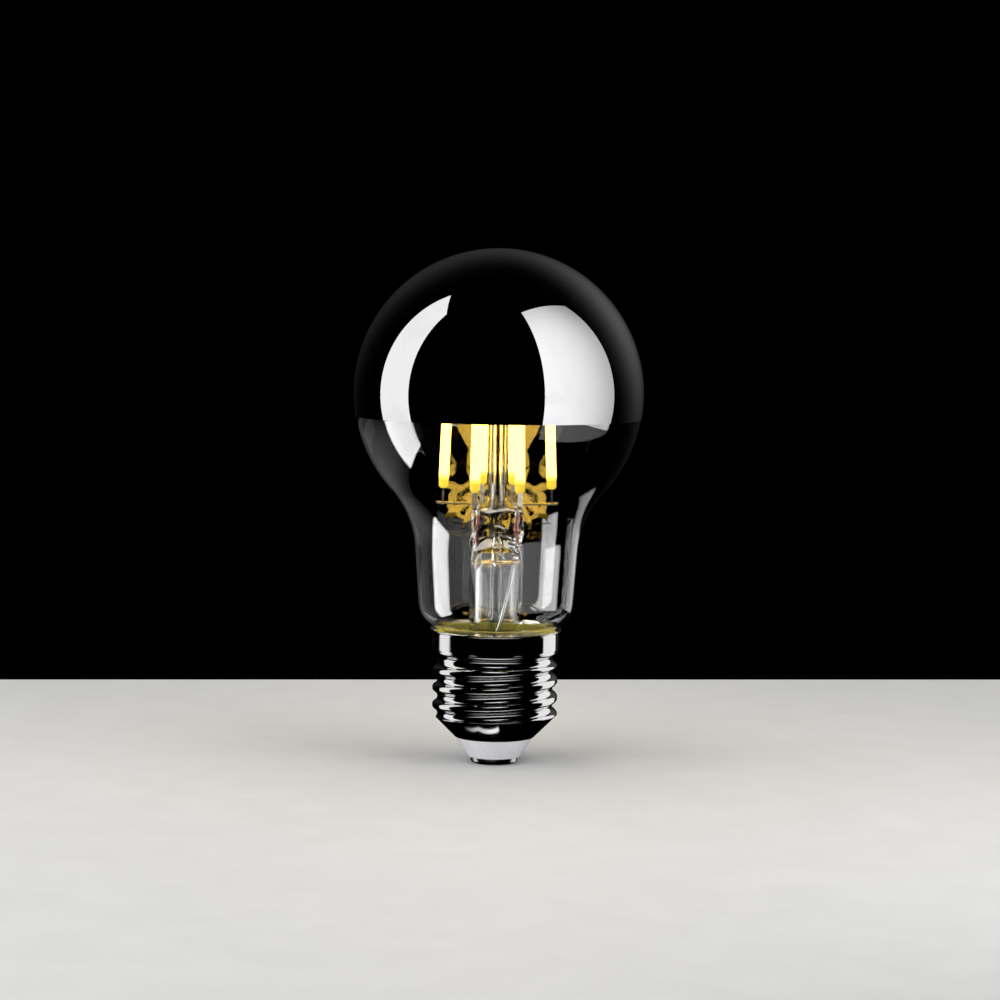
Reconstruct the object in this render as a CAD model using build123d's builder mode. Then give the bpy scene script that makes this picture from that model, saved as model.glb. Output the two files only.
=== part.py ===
from build123d import *
import os
from math import acos, asin, cos, degrees, radians, sin, sqrt

os.makedirs("parts", exist_ok=True)

# Crown mirror filament lamp: a clear blown envelope with a mirrored crown, a glass stem
# that carries six LED filaments, and a rolled screw cap with a small driver inside.
# Millimetres. The axis is Z, and the face of the centre contact is at height 0.

# Centre contact and insulator
contact_radius = 4.9
contact_thickness = 1.3
contact_edge_round = 0.6
contact_shank_radius = 1.6
contact_shank_stand = 0.8
insulator_foot_radius = 5.65
insulator_height = 4.2
insulator_foot_round = 0.4
insulator_cup_rise = 2.5
insulator_cup_wall = 1.2
insulator_cup_depth = 2.17
insulator_lip_inset = 0.15

# Screw shell, rolled from thin sheet
shell_wall = 0.3
lip_radius = 8.35
thread_crest_radius = 13.1
thread_depth = 1.05
thread_pitch = 3.629
thread_length = 13.6
thread_start_rise = 0.87
thread_start_angle = 155.0
thread_run_in = 0.2
thread_crest_flat = 0.03
thread_tool_gap = 0.1
thread_tool_reach = 0.6
skirt_step = 0.1
skirt_height = 4.3
rim_flare = 0.55
rim_height = 0.5

# Blown envelope
glass_wall = 0.7
bulb_radius = 30.0
waist_radius = 17.0
waist_arc = 19.3
neck_taper = 4.0
neck_length = 11.8
shoulder_arc = 6.0
shoulder_rise = 5.8
collar_arc = 1.5
collar_gap = 0.55
seal_depth = 6.7

# Mirror on the crown
coat_thickness = 0.1
coat_clearance = 0.04
mirror_edge_drop = 4.9

# Cement between the skirt and the neck
cement_top_drop = 0.5

# Glass stem
stem_tube_radius = 5.65
stem_tube_wall = 0.9
flare_lip = 1.05
stem_tube_length = 23.0
press_shoulder = 3.2
press_pinch = 0.3
press_thickness = 4.6
press_height = 9.3
press_edge_round = 1.0
press_roof = 1.6
blow_bulb_radius = 2.9
blow_hole_radius = 1.1
blow_hole_height = 4.2
exhaust_radius = 1.6
exhaust_bore = 0.9
exhaust_tail = 4.0
exhaust_tip_wall = 1.4
pillar_radius = 2.0
pillar_bore = 1.1
pillar_root = 1.5
crown_clearance = 8.0

# Lead wires and the wire spiders that carry the filaments
wire_radius = 0.3
lead_inset = 0.85
lead_bend = 2.0
lead_crossing = 0.2
lead_front = 2.7
lead_crossing_rise = 5.0
lead_straight_drop = 0.8
arm_rise = 1.1
arm_overrun = 1.2
bead_radius = 0.55
bead_height = 0.9
band_wall = 0.5
band_height = 1.4
pillar_stub = 0.5

# Filaments and their metal tabs
filament_radius = 1.1
filament_end_round = 0.8
ring_radius_bottom = 11.3
ring_radius_top = 9.9
front_half_angle = 24.0
back_half_angle = 17.0
tab_width = 1.1
tab_thickness = 0.3
tab_length = 2.6
tab_embed = 1.2

# Driver board and what stands on it, at places given as shares of the board's radius
board_clearance = 0.75
board_thickness = 1.0
capacitor_radius = 3.15
capacitor_length = 6.0
capacitor_round = 0.5
capacitor_place = (0.33, 0.42)
rectifier_size = (4.7, 3.9, 2.4)
rectifier_place = (-0.45, -0.45)
chip_size = (4.9, 3.9, 1.5)
chip_place = (0.45, -0.45)
fuse_radius = 1.2
fuse_length = 6.2
fuse_place = (-0.4, 0.53)
resistor_size = (1.6, 3.2, 0.6)
resistor_places = ((0.63, -0.05), (0.83, -0.05))
feed_wire_radius = 0.4
feed_wire_rise = 1.6
feed_wire_inset = 1.6

# Heights that follow, from the contact face upwards
insulator_bottom = contact_thickness
insulator_neck_radius = lip_radius - insulator_lip_inset
lip_height = insulator_bottom + insulator_height
thread_root_radius = thread_crest_radius - thread_depth
shell_bore = thread_root_radius - shell_wall
skirt_radius = thread_crest_radius + skirt_step
lip_thickness = shell_wall * sqrt(2)
cone_top = lip_height + thread_crest_radius - lip_radius
skirt_bottom = cone_top + thread_length
skirt_top = skirt_bottom + skirt_height
skirt_bore = skirt_radius - shell_wall
ring_groove_height = skirt_bottom - thread_pitch / 2
cup_radius = shell_bore - board_clearance
cup_bottom = lip_height + lip_thickness + cup_radius - lip_radius
cup_top = cup_bottom + insulator_cup_rise
cup_floor = cup_top - insulator_cup_depth
board_top = cup_top + board_thickness

# Heights of the glass, whose collar fits the shell's bore
collar_radius = shell_bore - collar_gap
flare_arc = collar_radius - stem_tube_radius - flare_lip
seal_height = skirt_top - seal_depth
shoulder_height = skirt_top + shoulder_rise
taper = radians(neck_taper)
neck_foot_height = shoulder_height - shoulder_arc * sin(taper)
neck_top_height = neck_foot_height + neck_length * cos(taper)
waist_height = neck_top_height - waist_arc * sin(taper)
waist_centre_radius = waist_radius + waist_arc
waist_angle = acos(waist_centre_radius / (bulb_radius + waist_arc))
bulb_centre_height = waist_height + (bulb_radius + waist_arc) * sin(waist_angle)
neck_foot_radius = waist_centre_radius - waist_arc * cos(taper) - neck_length * sin(taper)
shoulder_centre_radius = neck_foot_radius - shoulder_arc * cos(taper)
collar_centre_radius = collar_radius + collar_arc
collar_angle = acos((collar_centre_radius - shoulder_centre_radius) / (shoulder_arc + collar_arc))
collar_height = shoulder_height - (shoulder_arc + collar_arc) * sin(collar_angle)
crown_inside_height = bulb_centre_height + bulb_radius - glass_wall
mirror_edge_angle = asin(mirror_edge_drop / bulb_radius)

# Widths of the stem, whose press and lead wires fit the tube
stem_bore = stem_tube_radius - stem_tube_wall
press_width = 2 * stem_tube_radius - press_pinch
lead_offset = stem_bore - lead_inset

# Heights of the stem and of what it carries
tube_top = seal_height + stem_tube_length
press_bottom = tube_top + press_shoulder
press_top = tube_top + press_height
blow_height = tube_top + blow_hole_height
exhaust_tip_height = seal_height - exhaust_tail
arm_height = press_top + arm_rise
pillar_top = crown_inside_height - crown_clearance
band_top = pillar_top - pillar_stub
top_arm_height = band_top - band_height / 2
filament_bottom = arm_height + tab_length
filament_top = top_arm_height - tab_length


def envelope_outline(inset):
    """Draw the envelope's half outline, parallel to its skin and a given depth under it.

    The outline runs from the crown, on the axis, down to the sealed end of the neck.
    """
    crown = CenterArc(
        (0, bulb_centre_height), bulb_radius - inset, 90, -90 - degrees(waist_angle)
    )
    waist = CenterArc(
        (waist_centre_radius, waist_height), waist_arc + inset,
        180 - degrees(waist_angle), degrees(waist_angle) - neck_taper,
    )
    shoulder = CenterArc(
        (shoulder_centre_radius, shoulder_height), shoulder_arc - inset,
        -neck_taper, neck_taper - degrees(collar_angle),
    )
    Line(waist @ 1, shoulder @ 0)
    collar = CenterArc(
        (collar_centre_radius, collar_height), collar_arc + inset,
        180 - degrees(collar_angle), degrees(collar_angle),
    )
    Line(collar @ 1, (collar_radius - inset, seal_height))
    return crown


def groove_outline(height):
    """Draw the section of the rolled thread's groove, centred at a height."""
    rolled_crest_radius = thread_crest_radius + thread_crest_flat
    rolled_depth = rolled_crest_radius - thread_root_radius
    arc_radius = ((thread_pitch / 2) ** 2 + rolled_depth ** 2) / (4 * rolled_depth)
    flank_radius = (rolled_crest_radius + thread_root_radius) / 2
    flank = thread_pitch / 4
    edge = thread_pitch / 2 - thread_tool_gap
    edge_radius = rolled_crest_radius - arc_radius + sqrt(arc_radius ** 2 - thread_tool_gap ** 2)
    reach_radius = thread_crest_radius + thread_tool_reach
    root = ThreePointArc(
        (flank_radius, height - flank), (thread_root_radius, height), (flank_radius, height + flank)
    )
    upper = TangentArc(root @ 1, (edge_radius, height + edge), tangent=root % 1)
    lower = TangentArc(root @ 0, (edge_radius, height - edge), tangent=-(root % 0))
    Polyline(
        upper @ 1, (reach_radius, height + edge), (reach_radius, height - edge), lower @ 1
    )


def finish(piece, name):
    """Label a finished piece and write it to a file of its own."""
    piece.part.label = name
    export_step(piece.part, f"parts/{name}.step")


# Centre contact: a flat button on a shank
with BuildPart() as centre_contact:
    Cylinder(contact_radius, contact_thickness, align=(Align.CENTER, Align.CENTER, Align.MIN))
    fillet(centre_contact.edges().group_by(Axis.Z)[0], contact_edge_round)
    with Locations((0, 0, contact_thickness)):
        Cylinder(
            contact_shank_radius, cup_floor + contact_shank_stand - contact_thickness,
            align=(Align.CENTER, Align.CENTER, Align.MIN),
        )
finish(centre_contact, "centre_contact")

# Insulator: a cone under the shell, a flange on the shell's inner cone and a cup above
with BuildPart() as base_insulator:
    with BuildSketch(Plane.XZ):
        with BuildLine():
            Polyline(
                (contact_shank_radius, insulator_bottom),
                (insulator_foot_radius, insulator_bottom),
                (insulator_neck_radius, lip_height),
                (lip_radius, lip_height),
                (lip_radius, lip_height + lip_thickness),
                (cup_radius, cup_bottom),
                (cup_radius, cup_top),
                (cup_radius - insulator_cup_wall, cup_top),
                (cup_radius - insulator_cup_wall, cup_floor),
                (contact_shank_radius, cup_floor),
                close=True,
            )
        make_face()
    revolve(axis=Axis.Z)
    foot_edges = base_insulator.edges().filter_by(GeomType.CIRCLE).group_by(Axis.Z)[0]
    fillet(foot_edges.sort_by(SortBy.RADIUS)[-1], insulator_foot_round)
finish(base_insulator, "base_insulator")

# Screw shell: a rolled thread between the lower cone and the plain skirt, where the
# helical groove runs into a ring groove under the skirt
with BuildPart() as screw_shell:
    with BuildSketch(Plane.XZ):
        with BuildLine():
            Polyline(
                (lip_radius, lip_height),
                (thread_crest_radius, cone_top),
                (thread_crest_radius, skirt_bottom),
                (skirt_radius, skirt_bottom),
                (skirt_radius, skirt_top - rim_height),
                (skirt_radius + rim_flare, skirt_top),
                (skirt_bore + rim_flare, skirt_top),
                (skirt_bore, skirt_top - rim_height),
                (skirt_bore, skirt_bottom + shell_wall),
                (shell_bore, ring_groove_height),
                (shell_bore, lip_height + lip_thickness + shell_bore - lip_radius),
                (lip_radius, lip_height + lip_thickness),
                close=True,
            )
        make_face()
    revolve(axis=Axis.Z)
    groove_start = lip_height + thread_start_rise
    with BuildLine() as groove_path:
        Helix(
            thread_pitch, ring_groove_height - thread_run_in - groove_start, thread_root_radius,
            center=(0, 0, groove_start),
        )
    with BuildSketch(Plane.XZ) as groove_section:
        with BuildLine():
            groove_outline(groove_start)
        make_face()
    start_section = groove_section.sketch.rotate(Axis.Z, thread_start_angle)
    turned_path = groove_path.line.rotate(Axis.Z, thread_start_angle)
    sweep(start_section, turned_path, is_frenet=True, mode=Mode.SUBTRACT)
    with BuildSketch(Plane.XZ):
        with BuildLine():
            groove_outline(ring_groove_height)
        make_face()
    revolve(axis=Axis.Z, mode=Mode.SUBTRACT)
finish(screw_shell, "screw_shell")

# Blown envelope: one wall of even thickness, open only at the sealed end of the neck
with BuildPart() as glass_envelope:
    with BuildSketch(Plane.XZ):
        with BuildLine():
            outer_crown = envelope_outline(0)
            inner_crown = envelope_outline(glass_wall)
            Line(outer_crown @ 0, inner_crown @ 0)
            Line((collar_radius, seal_height), (collar_radius - glass_wall, seal_height))
        make_face()
    revolve(axis=Axis.Z)
finish(glass_envelope, "glass_envelope")

# Mirror: a thin metal coat on the outside of the crown, down past the widest part
with BuildPart() as mirror_coating:
    with BuildSketch(Plane.XZ):
        with BuildLine():
            coat_sweep = -90 - degrees(mirror_edge_angle)
            coat_inside = CenterArc(
                (0, bulb_centre_height), bulb_radius + coat_clearance, 90, coat_sweep
            )
            coat_outside = CenterArc(
                (0, bulb_centre_height), bulb_radius + coat_clearance + coat_thickness,
                90, coat_sweep,
            )
            Line(coat_inside @ 0, coat_outside @ 0)
            Line(coat_inside @ 1, coat_outside @ 1)
        make_face()
    revolve(axis=Axis.Z)
finish(mirror_coating, "mirror_coating")

# Cement: the ring that fills the skirt around the glass neck
with BuildPart() as basing_cement:
    with BuildSketch(Plane.XZ):
        with BuildLine():
            cement_bottom = skirt_bottom + shell_wall
            cement_top = skirt_top - rim_height - cement_top_drop
            Polyline(
                (0, cement_bottom), (skirt_bore, cement_bottom),
                (skirt_bore, cement_top), (0, cement_top), close=True,
            )
        make_face()
        with BuildLine():
            crown = envelope_outline(0)
            Polyline(crown @ 0, (0, seal_height), (collar_radius, seal_height))
        make_face(mode=Mode.SUBTRACT)
    revolve(axis=Axis.Z)
finish(basing_cement, "basing_cement")


def lead_wire(points):
    """Sweep a round lead wire along straight runs joined by tangent arcs."""
    with BuildPart() as wire:
        with BuildLine() as route:
            if len(points) > 2:
                FilletPolyline(*points, radius=lead_bend)
            else:
                Line(*points)
        with BuildSketch(Plane(origin=route.line @ 0, z_dir=route.line % 0)):
            Circle(wire_radius)
        sweep()
    return wire


# Lead wires: through the press, down the stem tube and on to the driver board
bead_bottom = arm_height - bead_height / 2
left_lead_wire = lead_wire([(-lead_offset, 0, bead_bottom), (-lead_offset, 0, board_top)])
finish(left_lead_wire, "left_lead_wire")
slant_top = tube_top - press_roof - lead_straight_drop
slant_bottom = seal_height + lead_crossing_rise
right_lead_wire = lead_wire([
    (lead_offset, 0, bead_bottom),
    (lead_offset, 0, slant_top),
    (lead_crossing, -lead_front, slant_bottom),
    (lead_crossing, -lead_front, board_top),
])
finish(right_lead_wire, "right_lead_wire")

# Glass stem: flare, tube, pinched press, exhaust tube and pillar, fused as one piece
with BuildPart() as glass_stem:
    roof_height = tube_top - press_roof
    flare_centre = (stem_tube_radius + flare_arc, seal_height + flare_arc)
    with BuildSketch(Plane.XZ):
        with BuildLine():
            flare_top = CenterArc(flare_centre, flare_arc, 270, -90)
            flare_under = CenterArc(flare_centre, flare_arc + stem_tube_wall, 270, -90)
            roof = CenterArc(
                (stem_bore - press_roof, roof_height - press_roof), press_roof, 0, 90
            )
            tip = CenterArc((0, exhaust_tip_height + exhaust_radius), exhaust_radius, 270, 90)
            Polyline(
                flare_top @ 0, (collar_radius, seal_height),
                (collar_radius, seal_height - stem_tube_wall), flare_under @ 0,
            )
            Polyline(flare_top @ 1, (stem_tube_radius, tube_top), (0, tube_top), tip @ 0)
            Line(flare_under @ 1, roof @ 0)
            Polyline(roof @ 1, (exhaust_radius, roof_height), tip @ 1)
        make_face()
    revolve(axis=Axis.Z)
    with BuildSketch(Plane.XY.offset(tube_top)):
        Circle(stem_tube_radius)
    with BuildSketch(Plane.XY.offset(press_bottom)):
        SlotOverall(press_width, press_thickness)
    loft()
    with BuildSketch(Plane.XY.offset(press_bottom)):
        SlotOverall(press_width, press_thickness)
    extrude(amount=press_top - press_bottom)
    fillet(glass_stem.faces().sort_by(Axis.Z)[-1].edges(), press_edge_round)
    with Locations((0, 0, blow_height)):
        Sphere(blow_bulb_radius)
    with Locations((0, 0, press_top - pillar_root)):
        Cylinder(
            pillar_radius, pillar_top - press_top + pillar_root,
            align=(Align.CENTER, Align.CENTER, Align.MIN),
        )
    with Locations((0, 0, pillar_top)):
        Hole(pillar_bore, pillar_top - press_top)
    with Locations((0, 0, exhaust_tip_height + exhaust_tip_wall)):
        Cylinder(
            exhaust_bore, blow_height - exhaust_tip_height - exhaust_tip_wall,
            align=(Align.CENTER, Align.CENTER, Align.MIN), mode=Mode.SUBTRACT,
        )
    with Locations(Plane(origin=(0, 0, blow_height), z_dir=(0, -1, 0))):
        Cylinder(
            blow_hole_radius, press_thickness, align=(Align.CENTER, Align.CENTER, Align.MIN),
            mode=Mode.SUBTRACT,
        )
    add(left_lead_wire.part, mode=Mode.SUBTRACT)
    add(right_lead_wire.part, mode=Mode.SUBTRACT)
finish(glass_stem, "glass_stem")


def filament_axis_point(angle, height):
    """Give the point of a filament's axis at a height; the filaments lean in towards the top."""
    share = (height - filament_bottom) / (filament_top - filament_bottom)
    radius = ring_radius_bottom + share * (ring_radius_top - ring_radius_bottom)
    return Vector(radius * cos(radians(angle)), radius * sin(radians(angle)), height)


def add_arm(start, foot):
    """Add a straight wire arm to the part in hand, from its hub to just past a filament's foot."""
    run = foot - start
    with Locations(Plane(origin=start, z_dir=run)):
        Cylinder(
            wire_radius, run.length + arm_overrun,
            align=(Align.CENTER, Align.CENTER, Align.MIN),
        )


# Filament places, counted from the left side over the front to the right and round the back
left_angles = (180, 270 - front_half_angle, 90 + back_half_angle)
right_angles = (360, 270 + front_half_angle, 90 - back_half_angle)

# Lower spiders: a weld bead on each lead wire with an arm to each of three filaments
with BuildPart() as left_spider:
    with Locations((-lead_offset, 0, arm_height)):
        Cylinder(bead_radius, bead_height)
    for angle in left_angles:
        add_arm(Vector(-lead_offset, 0, arm_height), filament_axis_point(angle, arm_height))
finish(left_spider, "left_spider")
with BuildPart() as right_spider:
    with Locations((lead_offset, 0, arm_height)):
        Cylinder(bead_radius, bead_height)
    for angle in right_angles:
        add_arm(Vector(lead_offset, 0, arm_height), filament_axis_point(angle, arm_height))
finish(right_spider, "right_spider")

# Top spider: a band on the pillar with an arm to every filament
with BuildPart() as top_spider:
    with Locations((0, 0, top_arm_height)):
        Cylinder(pillar_radius + band_wall, band_height)
    for angle in left_angles + right_angles:
        add_arm(Vector(0, 0, top_arm_height), filament_axis_point(angle, top_arm_height))
    with Locations((0, 0, top_arm_height)):
        Cylinder(pillar_radius, band_height, mode=Mode.SUBTRACT)
finish(top_spider, "top_spider")

# Filaments: each is a coated rod with a flat metal tab at both ends, saddled on an arm
filament_angles = sorted(left_angles + right_angles)
for number, angle in enumerate(filament_angles, start=1):
    lower_spider = left_spider if angle in left_angles else right_spider
    foot = filament_axis_point(angle, filament_bottom)
    head = filament_axis_point(angle, filament_top)
    sideways = (-sin(radians(angle)), cos(radians(angle)), 0)
    foot_plane = Plane(origin=foot, x_dir=sideways, z_dir=head - foot)
    head_plane = Plane(origin=head, x_dir=sideways, z_dir=foot - head)
    tab_reach = tab_length + wire_radius
    with BuildPart() as lower_tab:
        with Locations(foot_plane.offset(-tab_reach)):
            Box(
                tab_width, tab_thickness, tab_reach + tab_embed,
                align=(Align.CENTER, Align.CENTER, Align.MIN),
            )
        add(lower_spider.part, mode=Mode.SUBTRACT)
    finish(lower_tab, f"filament_{number}_lower_tab")
    with BuildPart() as upper_tab:
        with Locations(head_plane.offset(-tab_reach)):
            Box(
                tab_width, tab_thickness, tab_reach + tab_embed,
                align=(Align.CENTER, Align.CENTER, Align.MIN),
            )
        add(top_spider.part, mode=Mode.SUBTRACT)
    finish(upper_tab, f"filament_{number}_upper_tab")
    with BuildPart() as led_filament:
        with Locations(foot_plane):
            Cylinder(
                filament_radius, (head - foot).length,
                align=(Align.CENTER, Align.CENTER, Align.MIN),
            )
        fillet(led_filament.edges().filter_by(GeomType.CIRCLE), filament_end_round)
        add(lower_tab.part, mode=Mode.SUBTRACT)
        add(upper_tab.part, mode=Mode.SUBTRACT)
    finish(led_filament, f"led_filament_{number}")

# Driver board: a disc that stands on the rim of the insulator's cup
with BuildPart() as driver_board:
    with Locations((0, 0, cup_top)):
        Cylinder(cup_radius, board_thickness, align=(Align.CENTER, Align.CENTER, Align.MIN))
finish(driver_board, "driver_board")


def board_point(place, rise=0):
    """Give a point over the board from its place, as shares of the board's radius."""
    return (place[0] * cup_radius, place[1] * cup_radius, board_top + rise)


# Smoothing capacitor: an upright can
with BuildPart() as smoothing_capacitor:
    with Locations(board_point(capacitor_place)):
        Cylinder(
            capacitor_radius, capacitor_length, align=(Align.CENTER, Align.CENTER, Align.MIN)
        )
    fillet(smoothing_capacitor.edges().group_by(Axis.Z)[-1], capacitor_round)
finish(smoothing_capacitor, "smoothing_capacitor")

# Bridge rectifier, driver chip and chip resistors: flat moulded blocks on the board
blocks = {"bridge_rectifier": (rectifier_size, rectifier_place), "driver_chip": (chip_size, chip_place)}
for number, place in enumerate(resistor_places, start=1):
    blocks[f"chip_resistor_{number}"] = (resistor_size, place)
for name, (size, place) in blocks.items():
    with BuildPart() as block:
        with Locations(board_point(place)):
            Box(*size, align=(Align.CENTER, Align.CENTER, Align.MIN))
    finish(block, name)

# Fuse resistor: lies on the board
with BuildPart() as fuse_resistor:
    with Locations(Plane(origin=board_point(fuse_place, fuse_radius), z_dir=(1, 0, 0))):
        Cylinder(fuse_radius, fuse_length)
finish(fuse_resistor, "fuse_resistor")

# Feed wires: from the contact's shank up to the board, and from the board out to the shell
shank_top = cup_floor + contact_shank_stand
with BuildPart() as live_wire:
    with Locations((0, 0, shank_top)):
        Cylinder(
            feed_wire_radius, cup_top - shank_top, align=(Align.CENTER, Align.CENTER, Align.MIN)
        )
finish(live_wire, "live_wire")
with BuildPart() as neutral_wire:
    wire_foot_x = feed_wire_inset - cup_radius
    wire_elbow_height = board_top + feed_wire_rise
    with BuildLine() as neutral_route:
        FilletPolyline(
            (wire_foot_x, 0, board_top), (wire_foot_x, 0, wire_elbow_height),
            (-shell_bore, 0, wire_elbow_height), radius=2 * feed_wire_radius,
        )
    with BuildSketch(Plane(origin=neutral_route.line @ 0, z_dir=neutral_route.line % 0)):
        Circle(feed_wire_radius)
    sweep()
finish(neutral_wire, "neutral_wire")
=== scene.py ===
"""Looks of the crown mirror filament lamp: smooth glass, plated metal, lit filaments and a studio."""
import logging
from dataclasses import dataclass, field
from enum import Enum
from functools import cache
from math import acos, asin, cos, degrees, pi, radians, sin, sqrt, tau

import bpy
from mathutils import Matrix, Quaternion, Vector, noise


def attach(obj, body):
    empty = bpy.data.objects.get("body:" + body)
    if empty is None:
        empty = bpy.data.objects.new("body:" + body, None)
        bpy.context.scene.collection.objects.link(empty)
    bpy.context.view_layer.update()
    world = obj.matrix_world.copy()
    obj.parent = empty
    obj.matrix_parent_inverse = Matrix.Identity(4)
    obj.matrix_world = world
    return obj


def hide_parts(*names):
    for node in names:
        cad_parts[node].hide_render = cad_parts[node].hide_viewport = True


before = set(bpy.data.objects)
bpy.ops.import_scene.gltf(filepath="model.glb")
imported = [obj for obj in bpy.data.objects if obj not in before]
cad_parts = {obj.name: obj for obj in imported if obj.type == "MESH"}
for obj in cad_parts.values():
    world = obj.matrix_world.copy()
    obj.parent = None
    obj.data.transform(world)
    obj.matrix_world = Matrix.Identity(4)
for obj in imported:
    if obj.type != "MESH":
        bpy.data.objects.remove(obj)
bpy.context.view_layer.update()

log = logging.getLogger("crown_mirror_lamp")

MM = 0.001
BODY = "root"
SPIN_STEPS = 192
SAME_POINT = 1e-6
SPIN_MERGE = 2e-7
SEAM_MERGE = 2e-6
PHOTO_PIXELS = 1000
SENSOR_WIDTH = 36.0
NEAREST_SEEN = 0.01
LAMP_MIDDLE = (0.5, 0.5, 0.0)
EDGE_FADE_SPAN = (0.1, 0.5)
TOP_FADE_FROM = 0.4
BULB_CROSSED = 2.5

Point = tuple[float, float]
Colour = tuple[float, float, float]
Place = tuple[float, float, float]
Piece = bpy.types.Object
Tree = bpy.types.NodeTree
Node = bpy.types.Node
Socket = bpy.types.NodeSocket


class Slot(str, Enum):
    """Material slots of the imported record."""

    GLASS = "clear_glass"
    MIRROR = "crown_mirror"
    CAP = "cap_metal"
    CONTACT = "contact_metal"
    INSULATOR = "insulator_plastic"
    CEMENT = "cement"
    WIRE = "wire_metal"
    LEAD = "lead_metal"
    PHOSPHOR = "phosphor"


class Seen(Enum):
    """What a lamp of the studio shows itself to."""

    IN_GLASS = "in_glass"
    IN_CAP = "in_cap"
    BY_ALL_BUT_CAP = "by_all_but_cap"
    BY_MATT_SURFACES = "by_matt_surfaces"


def arc(centre: Point, radius: float, start: float, end: float, count: int) -> list[Point]:
    """Give points along an arc of a half outline.

    Args:
        centre: Radius and height of the arc's centre, in millimetres.
        radius: Radius of the arc, in millimetres.
        start: Angle of the first point from the outward direction, in degrees.
        end: Angle of the last point, in degrees.
        count: Number of equal steps.

    Returns:
        The points, first and last included.
    """
    angles = [radians(start + (end - start) * i / count) for i in range(count + 1)]
    return [(centre[0] + radius * cos(a), centre[1] + radius * sin(a)) for a in angles]


def run(start: Point, end: Point, count: int) -> list[Point]:
    """Give points along a straight run of a half outline.

    Args:
        start: Radius and height of the first point, in millimetres.
        end: Radius and height of the last point, in millimetres.
        count: Number of equal steps.

    Returns:
        The points, first and last included.
    """
    shares = [i / count for i in range(count + 1)]
    return [(start[0] + (end[0] - start[0]) * s, start[1] + (end[1] - start[1]) * s) for s in shares]


def joined(*pieces: list[Point]) -> list[Point]:
    """Join stretches of an outline, in their order, and leave out points that repeat."""
    points: list[Point] = []
    for point in (p for piece in pieces for p in piece):
        if not points or abs(point[0] - points[-1][0]) + abs(point[1] - points[-1][1]) > SAME_POINT:
            points.append(point)
    return points


class Bench:
    """Hand tools for shaping meshes with Blender's own operators."""

    @staticmethod
    def clear() -> None:
        """Leave edit mode and deselect everything."""
        if bpy.context.object is not None and bpy.context.object.mode != "OBJECT":
            bpy.ops.object.mode_set(mode="OBJECT")
        bpy.ops.object.select_all(action="DESELECT")

    @staticmethod
    def take(piece: Piece) -> None:
        """Select one object alone and make it the active one."""
        Bench.clear()
        piece.select_set(True)
        bpy.context.view_layer.objects.active = piece

    @staticmethod
    def merge(distance: float) -> None:
        """Merge the doubles of the active piece and stay in edit mode."""
        bpy.ops.object.mode_set(mode="EDIT")
        bpy.ops.mesh.select_all(action="SELECT")
        bpy.ops.mesh.remove_doubles(threshold=distance)

    @staticmethod
    def lathe(name: str, outline: list[Point], steps: int = SPIN_STEPS, sharp: float = 40.0) -> Piece:
        """Draw a half outline by extruding a point, then spin it round the lamp's axis.

        Args:
            name: Name of the new piece.
            outline: Radius and height of each point, in millimetres.
            steps: Number of steps round the axis.
            sharp: Angle from which an edge stays sharp, in degrees.

        Returns:
            The new piece, closed and with its faces outwards.
        """
        Bench.clear()
        bpy.ops.mesh.primitive_plane_add(size=MM)
        piece = bpy.context.object
        piece.name = piece.data.name = name
        bpy.ops.object.mode_set(mode="EDIT")
        bpy.ops.mesh.select_all(action="SELECT")
        bpy.ops.mesh.merge(type="CENTER")
        bpy.ops.transform.translate(value=(outline[0][0] * MM, 0, outline[0][1] * MM))
        for (r_from, z_from), (r_to, z_to) in zip(outline, outline[1:]):
            step = ((r_to - r_from) * MM, 0, (z_to - z_from) * MM)
            bpy.ops.mesh.extrude_vertices_move(TRANSFORM_OT_translate={"value": step})
        bpy.ops.mesh.select_all(action="SELECT")
        bpy.ops.mesh.spin(steps=steps, angle=tau, center=(0, 0, 0), axis=(0, 0, 1))
        Bench.merge(SPIN_MERGE)
        bpy.ops.mesh.normals_make_consistent(inside=False)
        bpy.ops.object.mode_set(mode="OBJECT")
        bpy.ops.object.shade_smooth_by_angle(angle=radians(sharp))
        return piece

    @staticmethod
    def smooth_copy(node: str, name: str, sharp: float = 35.0) -> Piece:
        """Copy a CAD node's mesh, merge its seams and shade it smooth.

        Args:
            node: Name of the CAD node.
            name: Name of the new piece.
            sharp: Angle from which an edge stays sharp, in degrees.

        Returns:
            The new piece, in the node's place.
        """
        piece = bpy.data.objects.new(name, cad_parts[node].data.copy())
        bpy.context.scene.collection.objects.link(piece)
        Bench.take(piece)
        if piece.data.has_custom_normals:
            bpy.ops.mesh.customdata_custom_splitnormals_clear()
        Bench.merge(SEAM_MERGE)
        bpy.ops.object.mode_set(mode="OBJECT")
        bpy.ops.object.shade_smooth_by_angle(angle=radians(sharp))
        return piece

    @staticmethod
    def settle(piece: Piece) -> None:
        """Move an object's place, turn and size into its mesh."""
        Bench.take(piece)
        bpy.ops.object.transform_apply(location=True, rotation=True, scale=True)


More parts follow.
